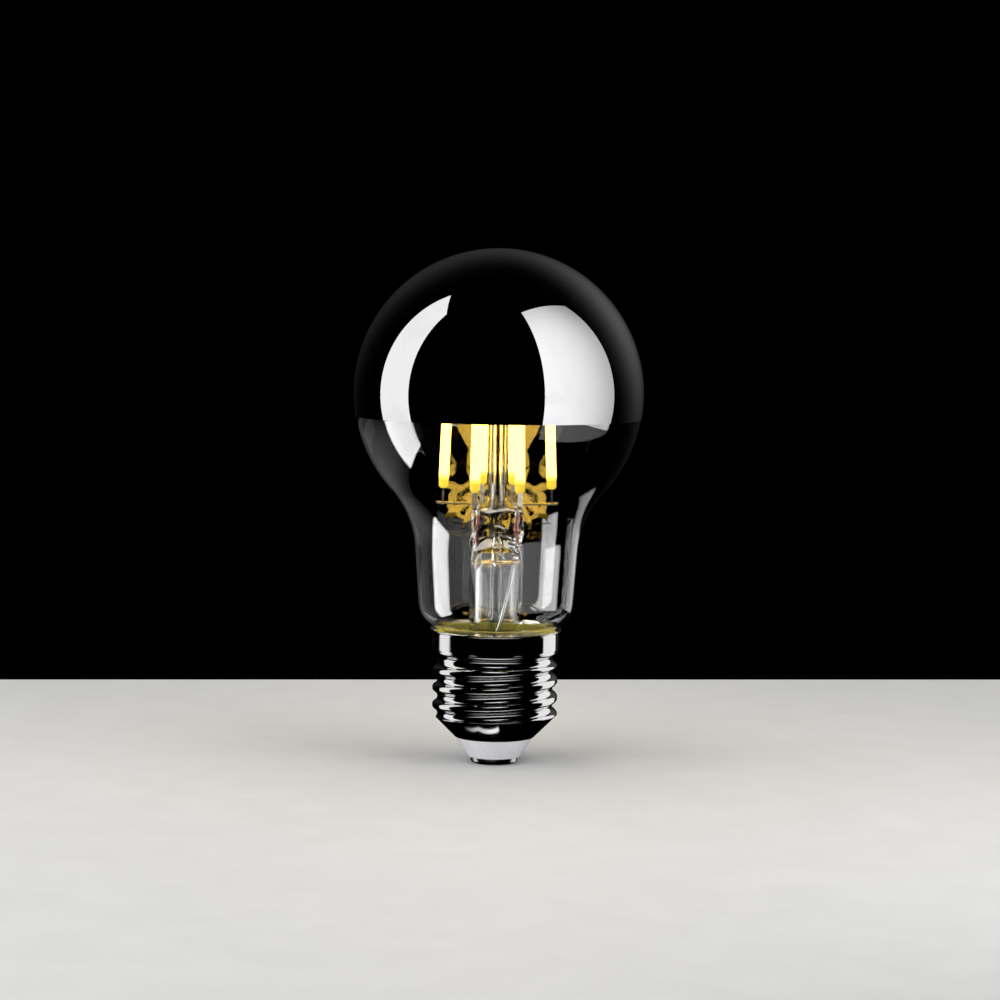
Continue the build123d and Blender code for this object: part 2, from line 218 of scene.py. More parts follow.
class NodeBench:
    """Builds a shader node tree, one node and one link at a time."""

    def __init__(self, tree: Tree) -> None:
        """Keep the tree that the nodes go into."""
        self.tree = tree

    def plug(self, socket: Socket, value: object) -> None:
        """Link an input to the output socket that is given, or set it to the value."""
        if isinstance(value, Socket):
            self.tree.links.new(value, socket)
        elif socket.type == "RGBA":
            socket.default_value = (*value, 1.0)
        else:
            socket.default_value = value

    def feed(self, node: Node, **values: object) -> None:
        """Set or link inputs of a node.

        Args:
            node: The node.
            values: Values or output sockets, by input name with _ for a space.
        """
        for key, value in values.items():
            name = key.replace("_", " ")
            self.plug(next(s for s in node.inputs if s.name == name and s.enabled), value)

    def add(self, kind: str, **values: object) -> Node:
        """Add a node of a kind and feed its inputs."""
        node = self.tree.nodes.new(kind)
        self.feed(node, **values)
        return node

    def find(self, kind: str) -> Node:
        """Give the first node of a type that the tree has."""
        return next(n for n in self.tree.nodes if n.type == kind)

    def math(self, operation: str, first: object, second: object = 0.0) -> Socket:
        """Add a Math node for two values or sockets and give its result."""
        node = self.tree.nodes.new("ShaderNodeMath")
        node.operation = operation
        for socket, value in zip(node.inputs, (first, second)):
            self.plug(socket, value)
        return node.outputs[0]

    def vectors(self, operation: str, first: Socket, second: object) -> Socket:
        """Add a Vector Math node for a vector and a second input and give its result."""
        node = self.tree.nodes.new("ShaderNodeVectorMath")
        node.operation = operation
        inlets = [s for s in node.inputs if s.enabled]
        for socket, value in zip(inlets, (first, second)):
            self.plug(socket, value)
        return next(s for s in node.outputs if s.enabled)

    def between(self, value: Socket, low: float, high: float, first: float = 0.0,
                last: float = 1.0) -> Socket:
        """Map a value smoothly from one span to another.

        Args:
            value: The socket to read.
            low: Value that gives the first result.
            high: Value that gives the last result.
            first: Result at and below the low value.
            last: Result at and above the high value.

        Returns:
            The result's socket.
        """
        node = self.tree.nodes.new("ShaderNodeMapRange")
        node.interpolation_type = "SMOOTHSTEP"
        self.feed(node, Value=value, From_Min=low, From_Max=high, To_Min=first, To_Max=last)
        return node.outputs["Result"]

    def blend(self, share: object, first: object, second: object) -> Socket:
        """Mix two colours by the share of the second and give the result."""
        node = self.tree.nodes.new("ShaderNodeMix")
        node.data_type = "RGBA"
        self.feed(node, Factor=share, A=first, B=second)
        return next(s for s in node.outputs if s.type == "RGBA" and s.enabled)

    def bump(self, height: Socket, strength: float, depth: float) -> Socket:
        """Add a bump of a depth in metres and give its normal."""
        node = self.add("ShaderNodeBump", Strength=strength, Distance=depth, Height=height)
        return node.outputs["Normal"]

    def group(self, tree: Tree, place: Socket, scale: float = 1.0) -> Node:
        """Place an effect group that reads a place at a scale."""
        node = self.tree.nodes.new("ShaderNodeGroup")
        node.node_tree = tree
        self.feed(node, Vector=place, Scale=scale)
        return node


class EffectGroups:
    """Node groups for effects that several finishes share, each made when it is first asked for."""

    @staticmethod
    def start(name: str, outputs: tuple[str, ...]) -> tuple[NodeBench, Node, Node]:
        """Start a group that reads a place and a scale.

        Args:
            name: Name of the group.
            outputs: Names of its outputs.

        Returns:
            The bench, the group's input node and its output node.
        """
        tree = bpy.data.node_groups.new(name, "ShaderNodeTree")
        tree.interface.new_socket("Vector", in_out="INPUT", socket_type="NodeSocketVector")
        scale = tree.interface.new_socket("Scale", in_out="INPUT", socket_type="NodeSocketFloat")
        scale.default_value = 1.0
        for output in outputs:
            tree.interface.new_socket(output, in_out="OUTPUT", socket_type="NodeSocketFloat")
        bench = NodeBench(tree)
        return bench, bench.add("NodeGroupInput"), bench.add("NodeGroupOutput")

    @staticmethod
    @cache
    def rolled_lines() -> Tree:
        """Give the group of fine rings that drawing and rolling leave round a metal part."""
        bench, inlet, outlet = EffectGroups.start("rolled_lines", ("Height", "Tone"))
        parts = bench.add("ShaderNodeSeparateXYZ", Vector=inlet.outputs["Vector"])
        line = bench.math("MULTIPLY", parts.outputs["Z"], inlet.outputs["Scale"])
        fine = bench.tree.nodes.new("ShaderNodeTexNoise")
        fine.noise_dimensions = "1D"
        bench.feed(fine, W=line, Scale=5200.0, Detail=3.0)
        patch = bench.add("ShaderNodeTexNoise", Vector=inlet.outputs["Vector"], Scale=260.0, Detail=4.0)
        tone = bench.math("MULTIPLY", fine.outputs["Fac"], patch.outputs["Fac"])
        bench.feed(outlet, Height=fine.outputs["Fac"], Tone=tone)
        return bench.tree

    @staticmethod
    @cache
    def handling() -> Tree:
        """Give the group of faint wipe marks that any handled surface has."""
        bench, inlet, outlet = EffectGroups.start("handling", ("Smear",))
        place = bench.vectors("SCALE", inlet.outputs["Vector"], inlet.outputs["Scale"])
        broad = bench.add("ShaderNodeTexNoise", Vector=place, Scale=55.0, Detail=5.0, Distortion=1.4)
        bench.feed(outlet, Smear=bench.between(broad.outputs["Fac"], 0.48, 0.72))
        return bench.tree

    @staticmethod
    @cache
    def grain() -> Tree:
        """Give the group of small lumps and pits of a moulded or cast surface."""
        bench, inlet, outlet = EffectGroups.start("grain", ("Height", "Mottle"))
        place = bench.vectors("SCALE", inlet.outputs["Vector"], inlet.outputs["Scale"])
        fine = bench.add("ShaderNodeTexNoise", Vector=place, Scale=2200.0, Detail=4.0)
        broad = bench.add("ShaderNodeTexNoise", Vector=place, Scale=420.0, Detail=5.0)
        mottle = bench.between(broad.outputs["Fac"], 0.3, 0.7)
        bench.feed(outlet, Height=fine.outputs["Fac"], Mottle=mottle)
        return bench.tree


class Finish:
    """A finish: makes its material once and gives it to pieces."""

    name: str

    @cache
    def material(self) -> bpy.types.Material:
        """Give the finish's material, made when it is first asked for."""
        made = bpy.data.materials.new(self.name)
        made.use_nodes = True
        bench = NodeBench(made.node_tree)
        self.dress(bench, bench.find("BSDF_PRINCIPLED"), bench.add("ShaderNodeTexCoord").outputs["Object"])
        return made

    def dress(self, bench: NodeBench, shader: Node, place: Socket) -> None:
        """Set up the shader of the finish; each finish has its own way."""
        raise NotImplementedError

    def give(self, piece: Piece) -> None:
        """Put the material on a piece in place of what it had."""
        piece.data.materials.clear()
        piece.data.materials.append(self.material())

    @staticmethod
    def let_through(bench: NodeBench, shader: Node, share: Socket, colour: Colour) -> None:
        """Let some rays pass straight through the surface.

        Args:
            bench: The material's bench.
            shader: The shader that the other rays meet.
            share: Socket that is 1 for the rays that pass.
            colour: Colour that the passing rays take.
        """
        through = bench.add("ShaderNodeBsdfTransparent", Color=colour)
        mix = bench.tree.nodes.new("ShaderNodeMixShader")
        for socket, source in zip(mix.inputs, (share, shader.outputs[0], through.outputs[0])):
            bench.plug(socket, source)
        bench.feed(bench.find("OUTPUT_MATERIAL"), Surface=mix.outputs[0])


@dataclass(frozen=True)
class ClearGlass(Finish):
    """Clear blown or drawn glass that lets the studio's light through to what it holds."""

    name: str = "clear_blown_glass"
    tint: Colour = (0.985, 0.992, 0.99)
    shade: Colour = (0.955, 0.968, 0.962)
    ior: float = 1.5
    ripple: float = 0.12
    ripple_scale: float = 48.0
    ripple_depth: float = 0.0003
    smear: float = 0.006
    shadow: Colour = (0.94, 0.95, 0.95)

    def dress(self, bench: NodeBench, shader: Node, place: Socket) -> None:
        """Set up clear glass with faint ripples and wipe marks."""
        smear = bench.group(EffectGroups.handling(), place).outputs["Smear"]
        ripples = bench.add("ShaderNodeTexNoise", Vector=place, Scale=self.ripple_scale, Detail=1.0)
        bench.feed(shader, Base_Color=bench.blend(smear, self.tint, self.shade),
                   Roughness=bench.math("MULTIPLY", smear, self.smear), IOR=self.ior, Transmission_Weight=1.0,
                   Normal=bench.bump(ripples.outputs["Fac"], self.ripple, self.ripple_depth))
        path = bench.add("ShaderNodeLightPath")
        self.let_through(bench, shader, path.outputs["Is Shadow Ray"], self.shadow)


@dataclass(frozen=True)
class SilverCoat(Finish):
    """Vapour-laid mirror metal on smooth glass."""

    name: str = "crown_silver_coat"
    colour: Colour = (0.93, 0.93, 0.935)
    veil: Colour = (0.86, 0.865, 0.88)
    gloss: float = 0.012
    dull: float = 0.03

    def dress(self, bench: NodeBench, shader: Node, place: Socket) -> None:
        """Set up a clean mirror with the faintest wipe marks."""
        smear = bench.group(EffectGroups.handling(), place).outputs["Smear"]
        bench.feed(shader, Base_Color=bench.blend(smear, self.colour, self.veil), Metallic=1.0,
                   Roughness=bench.between(smear, 0.0, 1.0, self.gloss, self.dull))


@dataclass(frozen=True)
class PlatedMetal(Finish):
    """Bright plated sheet or wire with the rings and rubs of its making."""

    name: str
    colour: Colour
    rub: Colour
    gloss: float
    dull: float
    line_strength: float = 0.08
    line_depth: float = 0.00002
    wear: float = 0.8
    smear_scale: float = 2.0

    def dress(self, bench: NodeBench, shader: Node, place: Socket) -> None:
        """Set up plating with rolled lines and rubs."""
        lines = bench.group(EffectGroups.rolled_lines(), place)
        smear = bench.group(EffectGroups.handling(), place, self.smear_scale).outputs["Smear"]
        worn = bench.math("MULTIPLY", lines.outputs["Tone"], self.wear)
        bench.feed(shader, Base_Color=bench.blend(worn, self.colour, self.rub), Metallic=1.0,
                   Roughness=bench.between(smear, 0.0, 1.0, self.gloss, self.dull),
                   Normal=bench.bump(lines.outputs["Height"], self.line_strength, self.line_depth))


@dataclass(frozen=True)
class LeadMetal(Finish):
    """Lead wire: nickel, with the copper-clad stretch that is sealed in the glass press."""

    name: str = "lead_wire_nickel_and_copper"
    nickel: Colour = (0.78, 0.76, 0.72)
    copper: Colour = (0.42, 0.20, 0.165)
    seal_from: float = 45.5
    seal_to: float = 52.6
    seal_ease: float = 0.6
    gloss: float = 0.18
    dull: float = 0.34

    def dress(self, bench: NodeBench, shader: Node, place: Socket) -> None:
        """Set up wire whose colour changes where the seal begins and ends."""
        height = bench.add("ShaderNodeSeparateXYZ", Vector=place).outputs["Z"]
        above = bench.between(height, self.seal_from * MM, (self.seal_from + self.seal_ease) * MM)
        below = bench.between(height, (self.seal_to - self.seal_ease) * MM, self.seal_to * MM, 1.0, 0.0)
        sealed = bench.math("MULTIPLY", above, below)
        tone = bench.group(EffectGroups.rolled_lines(), place).outputs["Tone"]
        bench.feed(shader, Base_Color=bench.blend(sealed, self.nickel, self.copper), Metallic=1.0,
                   Roughness=bench.between(tone, 0.0, 0.6, self.gloss, self.dull))


@dataclass(frozen=True)
class Moulded(Finish):
    """Moulded or cast material with a fine grain and a soft gloss."""

    name: str
    colour: Colour
    mottle: Colour
    gloss: float
    dull: float
    grain: float = 0.2
    scale: float = 1.0
    grain_depth: float = 0.00006

    def dress(self, bench: NodeBench, shader: Node, place: Socket) -> None:
        """Set up a mottled colour, grain and a gloss that varies."""
        grain = bench.group(EffectGroups.grain(), place, self.scale)
        smear = bench.group(EffectGroups.handling(), place).outputs["Smear"]
        bench.feed(shader, Base_Color=bench.blend(grain.outputs["Mottle"], self.colour, self.mottle),
                   Roughness=bench.between(smear, 0.0, 1.0, self.gloss, self.dull),
                   Normal=bench.bump(grain.outputs["Height"], self.grain, self.grain_depth))


@dataclass(frozen=True)
class StudioFloor(Moulded):
    """Pale floor that mirrored rays pass, so that glass and plating show the dark studio."""

    def dress(self, bench: NodeBench, shader: Node, place: Socket) -> None:
        """Set up the floor's colour and let mirrored rays through."""
        super().dress(bench, shader, place)
        path = bench.add("ShaderNodeLightPath")
        mirrored = bench.math("MINIMUM", path.outputs["Glossy Depth"], 1.0)
        self.let_through(bench, shader, mirrored, (1.0, 1.0, 1.0))


@dataclass(frozen=True)
class Phosphor(Finish):
    """Filament coat: yellow phosphor gel, lit along the chips and only warm at its ends."""

    name: str = "phosphor_gel"
    gel: Colour = (0.95, 0.62, 0.05)
    gel_mottle: Colour = (0.9, 0.55, 0.03)
    glow: Colour = (1.0, 0.62, 0.092)
    ember: Colour = (0.052, 0.048, 0.0048)
    strength: float = 7.5
    lit_from: float = 59.2
    lit_full: float = 60.9
    chip_pitch: float = 1.25
    between_chips: float = 0.95
    gloss: float = 0.35
    dull: float = 0.5
    grain: float = 0.3
    grain_depth: float = 0.00008

    def dress(self, bench: NodeBench, shader: Node, place: Socket) -> None:
        """Set up gel that glows with a slight beat from chip to chip."""
        height = bench.add("ShaderNodeSeparateXYZ", Vector=place).outputs["Z"]
        lit = bench.between(height, self.lit_from * MM, self.lit_full * MM)
        beat = bench.math("SINE", bench.math("MULTIPLY", height, tau / (self.chip_pitch * MM)))
        level = bench.math("MULTIPLY", lit, bench.between(beat, -1.0, 1.0, self.between_chips, 1.0))
        grain = bench.group(EffectGroups.grain(), place)
        mottle = grain.outputs["Mottle"]
        bench.feed(shader, Base_Color=bench.blend(mottle, self.gel, self.gel_mottle),
                   Roughness=bench.between(mottle, 0.0, 1.0, self.gloss, self.dull),
                   Emission_Color=bench.blend(level, self.ember, self.glow), Emission_Strength=self.strength,
                   Normal=bench.bump(grain.outputs["Height"], self.grain, self.grain_depth))


@dataclass(frozen=True)
class Laminate(Finish):
    """Driver board: resist over glass cloth with tinned tracks."""

    name: str = "board_laminate"
    resist: Colour = (0.03, 0.16, 0.07)
    track: Colour = (0.06, 0.24, 0.11)
    track_scale: float = 420.0
    track_relief: float = 0.3
    track_depth: float = 0.00004
    gloss: float = 0.25
    dull: float = 0.4

    def dress(self, bench: NodeBench, shader: Node, place: Socket) -> None:
        """Set up tracks as a pattern of bricks under the resist."""
        tracks = bench.add("ShaderNodeTexBrick", Vector=place, Scale=self.track_scale, Color1=self.track,
                           Color2=self.resist, Mortar=self.resist)
        mottle = bench.group(EffectGroups.grain(), place).outputs["Mottle"]
        bench.feed(shader, Base_Color=tracks.outputs["Color"],
                   Roughness=bench.between(mottle, 0.0, 1.0, self.gloss, self.dull),
                   Normal=bench.bump(tracks.outputs["Fac"], self.track_relief, self.track_depth))


CLEAR_GLASS = ClearGlass()
STEM_GLASS = ClearGlass(name="drawn_stem_glass", ripple=0.3, ripple_scale=150.0)
SILVER_COAT = SilverCoat()
CAP_NICKEL = PlatedMetal("cap_nickel_plate", (0.80, 0.79, 0.78), (0.62, 0.61, 0.60), 0.07, 0.13)
CONTACT_TIN = PlatedMetal("contact_tin_plate", (0.60, 0.58, 0.54), (0.42, 0.40, 0.37), 0.22, 0.38)
WIRE_NICKEL = PlatedMetal("spider_wire_nickel", (0.80, 0.77, 0.72), (0.6, 0.56, 0.5), 0.16, 0.3)
LEAD_WIRE = LeadMetal()
INSULATOR_WHITE = Moulded("insulator_white_plastic", (0.80, 0.80, 0.84), (0.74, 0.74, 0.79), 0.30, 0.42, 0.1)
CEMENT_YELLOW = Moulded("basing_cement_yellow", (0.78, 0.70, 0.15), (0.58, 0.51, 0.09), 0.55, 0.8, 0.6, 0.6)
PHOSPHOR_GEL = Phosphor()
BOARD_GREEN = Laminate()
CHIP_BLACK = Moulded("chip_black_moulding", (0.018, 0.018, 0.02), (0.03, 0.03, 0.032), 0.45, 0.6, 0.4)
CAN_SLEEVE = Moulded("capacitor_sleeve_blue", (0.02, 0.035, 0.09), (0.03, 0.05, 0.12), 0.25, 0.4, 0.1)
FUSE_GREY = Moulded("fuse_resistor_grey", (0.36, 0.38, 0.36), (0.28, 0.30, 0.28), 0.5, 0.65, 0.3)
FLOOR_PALE = StudioFloor("studio_floor_pale", (0.78, 0.78, 0.77), (0.755, 0.755, 0.745), 0.65, 0.75,
                         grain=0.02, scale=0.2)
WIRE_SLEEVE = Moulded("feed_wire_white_sleeve", (0.72, 0.71, 0.68), (0.62, 0.61, 0.58), 0.35, 0.5, 0.2)


def set_in_place(piece: Piece, finish: Finish, slot: Slot, *nodes: str) -> None:
    """Give a piece its finish, hang it under the body and hide the CAD nodes that it replaces.

    Args:
        piece: The piece.
        finish: Its finish.
        slot: The record's slot that the finish belongs to; not used.
        nodes: CAD nodes that the piece replaces.
    """
    finish.give(piece)
    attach(piece, BODY)
    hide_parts(*nodes)
    log.info("%s: %d faces for %s", piece.name, len(piece.data.polygons), ", ".join(nodes))


@dataclass(frozen=True)
class Cap:
    """Screw cap: contact, insulator, shell and cement, in millimetres from the contact face."""

    contact_radius: float = 4.9
    contact_thickness: float = 1.3
    contact_round: float = 0.6
    shank_radius: float = 1.6
    shank_stand: float = 0.8
    foot_radius: float = 5.65
    foot_round: float = 0.4
    foot_lean: float = 0.75
    foot_step: Point = (0.24, 0.6)
    lip_inset: float = 0.15
    lip_gap: float = 0.02
    seat_gap: float = 0.03
    insulator_height: float = 4.2
    cup_rise: float = 2.5
    cup_wall: float = 1.2
    cup_depth: float = 2.17
    board_clearance: float = 0.75
    wall: float = 0.3
    lip_radius: float = 8.35
    crest_radius: float = 13.1
    thread_depth: float = 1.05
    pitch: float = 3.629
    thread_length: float = 13.6
    start_rise: float = 0.87
    start_angle: float = 155.0
    run_in: float = 0.2
    crest_flat: float = 0.03
    skin_slack: float = 1e-3
    end_slack: float = 1e-4
    skirt_step: float = 0.1
    skirt_height: float = 4.3
    skirt_ease: float = 0.15
    bore_ease: float = 0.1
    flare_arc: float = 0.6
    rim_flare: float = 0.55
    rim_height: float = 0.5
    cement_top_drop: float = 0.5
    cement_gap: float = 0.02
    glass_gap: float = 0.04
    cement_lip: float = 0.1
    cement_lump: float = 0.12
    cement_lump_rate: float = 420.0
    cement_top_skin: float = 0.01
    row_height: float = 0.09

    @property
    def lip_height(self) -> float:
        """Height of the shell's lower lip."""
        return self.contact_thickness + self.insulator_height

    @property
    def root_radius(self) -> float:
        """Radius at the bottom of the thread's groove."""
        return self.crest_radius - self.thread_depth

    @property
    def bore(self) -> float:
        """Radius of the shell's bore."""
        return self.root_radius - self.wall

    @property
    def skirt_radius(self) -> float:
        """Outer radius of the plain skirt."""
        return self.crest_radius + self.skirt_step

    @property
    def skirt_bottom(self) -> float:
        """Height at which the thread ends and the skirt begins."""
        return self.lip_height + self.crest_radius - self.lip_radius + self.thread_length

    @property
    def skirt_top(self) -> float:
        """Height of the rim."""
        return self.skirt_bottom + self.skirt_height

    @property
    def cup_radius(self) -> float:
        """Outer radius of the insulator's cup inside the shell."""
        return self.bore - self.board_clearance

    @property
    def seat_height(self) -> float:
        """Height of the shell's lip on the inside."""
        return self.lip_height + self.wall * sqrt(2)

    @property
    def cup_bottom(self) -> float:
        """Height at which the insulator's cup leaves the shell's cone."""
        return self.seat_height + self.cup_radius - self.lip_radius

    @property
    def cup_top(self) -> float:
        """Height of the cup's upper edge."""
        return self.cup_bottom + self.cup_rise

    @property
    def cup_floor(self) -> float:
        """Height of the cup's floor."""
        return self.cup_top - self.cup_depth

    def groove_radius(self, away: float) -> float:
        """Give the radius of the groove's surface.

        Args:
            away: Distance along the axis from the middle of the groove, in millimetres.

        Returns:
            The radius, or more than the crest outside the groove.
        """
        away = abs(away)
        if away >= self.pitch / 2:
            return 2 * self.crest_radius
        crest = self.crest_radius + self.crest_flat
        depth = crest - self.root_radius
        bend = ((self.pitch / 2) ** 2 + depth ** 2) / (4 * depth)
        if away <= self.pitch / 4:
            return self.root_radius + bend - sqrt(bend ** 2 - away ** 2)
        return crest - bend + sqrt(bend ** 2 - (self.pitch / 2 - away) ** 2)

    def rolled_radius(self, turn: float, height: float) -> float:
        """Give how far the rolled thread lets the shell's skin reach.

        Args:
            turn: Place round the axis, in turns from the start of the groove.
            height: Height, in millimetres.

        Returns:
            The largest radius that the grooves leave.
        """
        start = self.lip_height + self.start_rise
        ring = self.skirt_bottom - self.pitch / 2
        reach = self.groove_radius(height - ring)
        lap = round((height - start) / self.pitch - turn)
        for count in (lap - 1, lap, lap + 1):
            middle = start + (turn + count) * self.pitch
            if start <= middle <= ring - self.run_in:
                reach = min(reach, self.groove_radius(height - middle))
        return reach

    def make_shell(self) -> Piece:
        """Spin the shell's sheet and roll the thread into it."""
        lip, wall = self.lip_height, self.wall
        cone_top = lip + self.crest_radius - self.lip_radius
        skirt, top = self.skirt_radius, self.skirt_top
        rows = round((self.skirt_bottom - cone_top) / self.row_height)
        cone_rows = round((cone_top - lip) / self.row_height)
        half = wall / 2
        curl = (skirt + self.rim_flare - half, top - half)
        flare_foot = top - self.rim_height - self.skirt_ease
        bore_top = top - self.rim_height - self.bore_ease
        outline = joined(
            run((self.lip_radius, lip), (self.crest_radius, cone_top), cone_rows),
            run((self.crest_radius, cone_top), (self.crest_radius, self.skirt_bottom), rows),
            run((skirt, self.skirt_bottom + self.skirt_ease), (skirt, flare_foot), 12),
            arc((skirt + self.flare_arc, flare_foot), self.flare_arc, 180, 135, 5),
            arc(curl, half, -30, 150, 8),
            run((skirt - wall, bore_top), (skirt - wall, self.skirt_bottom + wall), 8),
            run((self.bore, self.skirt_bottom - self.pitch / 2),
                (self.bore, lip + self.bore - self.lip_radius), 8),
            run((self.lip_radius, self.seat_height), (self.lip_radius, lip), 2),
        )
        shell = Bench.lathe("cap_shell", outline, sharp=60.0)
        self.roll_thread(shell)
        return shell

    def roll_thread(self, shell: Piece) -> None:
        """Press the helical groove into the outer skin of the spun shell."""
        for corner in shell.data.vertices:
            radius = corner.co.xy.length / MM
            height = corner.co.z / MM
            blank = min(self.crest_radius, self.lip_radius + height - self.lip_height)
            if height > self.skirt_bottom + self.end_slack or radius < blank - self.skin_slack:
                continue
            turn = corner.co.xy.angle_signed(Vector((1.0, 0.0)), 0.0) / tau - self.start_angle / 360
            reach = self.rolled_radius(turn % 1.0, height)
            if reach < radius:
                corner.co.xy *= reach / radius

    def make_insulator(self) -> Piece:
        """Spin the insulator: the cone that shows, its flange and the cup inside the shell."""
        foot, base, lip = self.foot_radius, self.contact_thickness, self.lip_height
        ease, gap = self.foot_round, self.seat_gap
        cone_foot = (foot + self.foot_step[0], base + self.foot_step[1])
        seat, cup = self.lip_radius - gap, self.cup_radius - gap
        inside = self.cup_radius - self.cup_wall
        outline = joined(
            [(self.shank_radius, base)],
            arc((foot - ease * self.foot_lean, base + ease), ease, -90, -32, 8),
            run(cone_foot, (self.lip_radius - self.lip_inset, lip - self.lip_gap), 6),
            run((seat, lip), (seat, self.seat_height + gap), 2),
            run((cup, self.cup_bottom + gap), (cup, self.cup_top), 3),
            run((inside, self.cup_top), (inside, self.cup_floor), 3),
            run((self.shank_radius, self.cup_floor), (self.shank_radius, base), 2),
        )
        return Bench.lathe("insulator_cone", outline, 128, 30.0)

    def make_contact(self) -> Piece:
        """Spin the contact button with its rolled edge and shank."""
        shank_top = self.cup_floor + self.shank_stand
        edge, turn = self.contact_radius, self.contact_round
        outline = joined(
            run((0.0, 0.0), (edge - turn, 0.0), 8),
            arc((edge - turn, turn), turn, -90, 0, 8),
            run((edge, turn), (edge, self.contact_thickness), 2),
            run((self.shank_radius, self.contact_thickness), (self.shank_radius, shank_top), 2),
            [(0.0, shank_top)],
        )
        return Bench.lathe("contact_button", outline, 96, 35.0)

    def make_cement(self, glass: "Envelope") -> Piece:
        """Spin the cement ring round the neck of the glass and leave its top uneven."""
        low = self.skirt_bottom + self.wall
        high = self.skirt_top - self.rim_height - self.cement_top_drop
        outer = self.skirt_radius - self.wall - self.cement_gap
        inner = [(r + self.glass_gap, z) for r, z in reversed(glass.outline(0.0)) if low < z < high]
        first, last = (inner[0][0], low), (inner[-1][0] + self.cement_lip, high)
        edge = (outer, high)
        outline = joined([first], inner, run(last, edge, 4), run(edge, (outer, low), 4), [first])
        ring = Bench.lathe("basing_cement_ring", outline, 160, 60.0)
        for corner in ring.data.vertices:
            if corner.co.z > (high - self.cement_top_skin) * MM:
                corner.co.z += self.cement_lump * MM * noise.noise(corner.co * self.cement_lump_rate)
        return ring

    def build(self, glass: "Envelope") -> None:
        """Make and dress the cap's pieces, with the cement that holds the glass."""
        set_in_place(self.make_shell(), CAP_NICKEL, Slot.CAP, "screw_shell")
        set_in_place(self.make_insulator(), INSULATOR_WHITE, Slot.INSULATOR, "base_insulator")
        set_in_place(self.make_contact(), CONTACT_TIN, Slot.CONTACT, "centre_contact")
        set_in_place(self.make_cement(glass), CEMENT_YELLOW, Slot.CEMENT, "basing_cement")


@dataclass(frozen=True)
class Envelope:
    """Blown envelope and the mirror coat on its crown, in millimetres."""

    cap: Cap
    wall: float = 0.7
    bulb_radius: float = 30.0
    waist_radius: float = 17.0
    waist_arc: float = 19.3
    taper: float = 4.0
    neck_length: float = 11.8
    shoulder_arc: float = 6.0
    shoulder_rise: float = 5.8
    collar_arc: float = 1.5
    collar_gap: float = 0.55
    seal_depth: float = 6.7
    seal_gap: float = 0.02
    coat_thickness: float = 0.1
    coat_clearance: float = 0.04
    mirror_edge_drop: float = 4.9

    @property
    def collar_radius(self) -> float:
        """Radius of the neck's collar inside the cap."""
        return self.cap.bore - self.collar_gap

    @property
    def seal_height(self) -> float:
        """Height at which the envelope is sealed to the stem."""
        return self.cap.skirt_top - self.seal_depth

    @property
    def shoulder_height(self) -> float:
        """Height of the centre of the neck's shoulder."""
        return self.cap.skirt_top + self.shoulder_rise

    @property
    def waist_height(self) -> float:
        """Height of the centre of the waist's arc."""
        slope = radians(self.taper)
        foot = self.shoulder_height - self.shoulder_arc * sin(slope)
        return foot + self.neck_length * cos(slope) - self.waist_arc * sin(slope)

    @property
    def waist_angle(self) -> float:
        """Angle at which the waist meets the bulb, in radians."""
        return acos((self.waist_radius + self.waist_arc) / (self.bulb_radius + self.waist_arc))

    @property
    def bulb_height(self) -> float:
        """Height of the bulb's centre."""
        return self.waist_height + (self.bulb_radius + self.waist_arc) * sin(self.waist_angle)

    def outline(self, inset: float) -> list[Point]:
        """Give the envelope's half outline at a depth under its skin.

        Args:
            inset: Depth under the skin, in millimetres.

        Returns:
            Points from the crown, on the axis, down to the sealed end.
        """
        slope = radians(self.taper)
        waist_centre = (self.waist_radius + self.waist_arc, self.waist_height)
        foot = waist_centre[0] - self.waist_arc * cos(slope) - self.neck_length * sin(slope)
        shoulder = (foot - self.shoulder_arc * cos(slope), self.shoulder_height)
        bend = self.shoulder_arc + self.collar_arc
        collar_turn = acos((self.collar_radius + self.collar_arc - shoulder[0]) / bend)
        collar = (self.collar_radius + self.collar_arc, self.shoulder_height - bend * sin(collar_turn))
        sealed = self.collar_radius - inset
        turn = degrees(self.waist_angle)
        end = degrees(collar_turn)
        waist = arc(waist_centre, self.waist_arc + inset, 180 - turn, 180 - self.taper, 26)
        neck = arc(shoulder, self.shoulder_arc - inset, -self.taper, -end, 14)
        return joined(
            arc((0.0, self.bulb_height), self.bulb_radius - inset, 90, -turn, 72),
            waist,
            run(waist[-1], neck[0], 6),
            neck,
            arc(collar, self.collar_arc + inset, 180 - end, 180, 8),
            run((sealed, collar[1]), (sealed, self.seal_height + self.seal_gap), 4),
        )

    def make_glass(self) -> Piece:
        """Spin the blown wall from its outer and inner outlines."""
        outer = self.outline(0.0)
        inner = self.outline(self.wall)
        return Bench.lathe("blown_envelope", joined(outer, inner[::-1]), sharp=50.0)

    def make_coat(self) -> Piece:
        """Spin the mirror coat over the crown, down to its crisp lower edge."""
        inside = self.bulb_radius + self.coat_clearance
        outside = inside + self.coat_thickness
        middle = (0.0, self.bulb_height)
        end = -degrees(asin(self.mirror_edge_drop / self.bulb_radius))
        outline = joined(arc(middle, outside, 90, end, 72), arc(middle, inside, end, 90, 72))
        return Bench.lathe("crown_coat", outline, sharp=50.0)

    def build(self) -> None:
        """Make and dress the envelope and its coat."""
        set_in_place(self.make_glass(), CLEAR_GLASS, Slot.GLASS, "glass_envelope")
        set_in_place(self.make_coat(), SILVER_COAT, Slot.MIRROR, "mirror_coating")


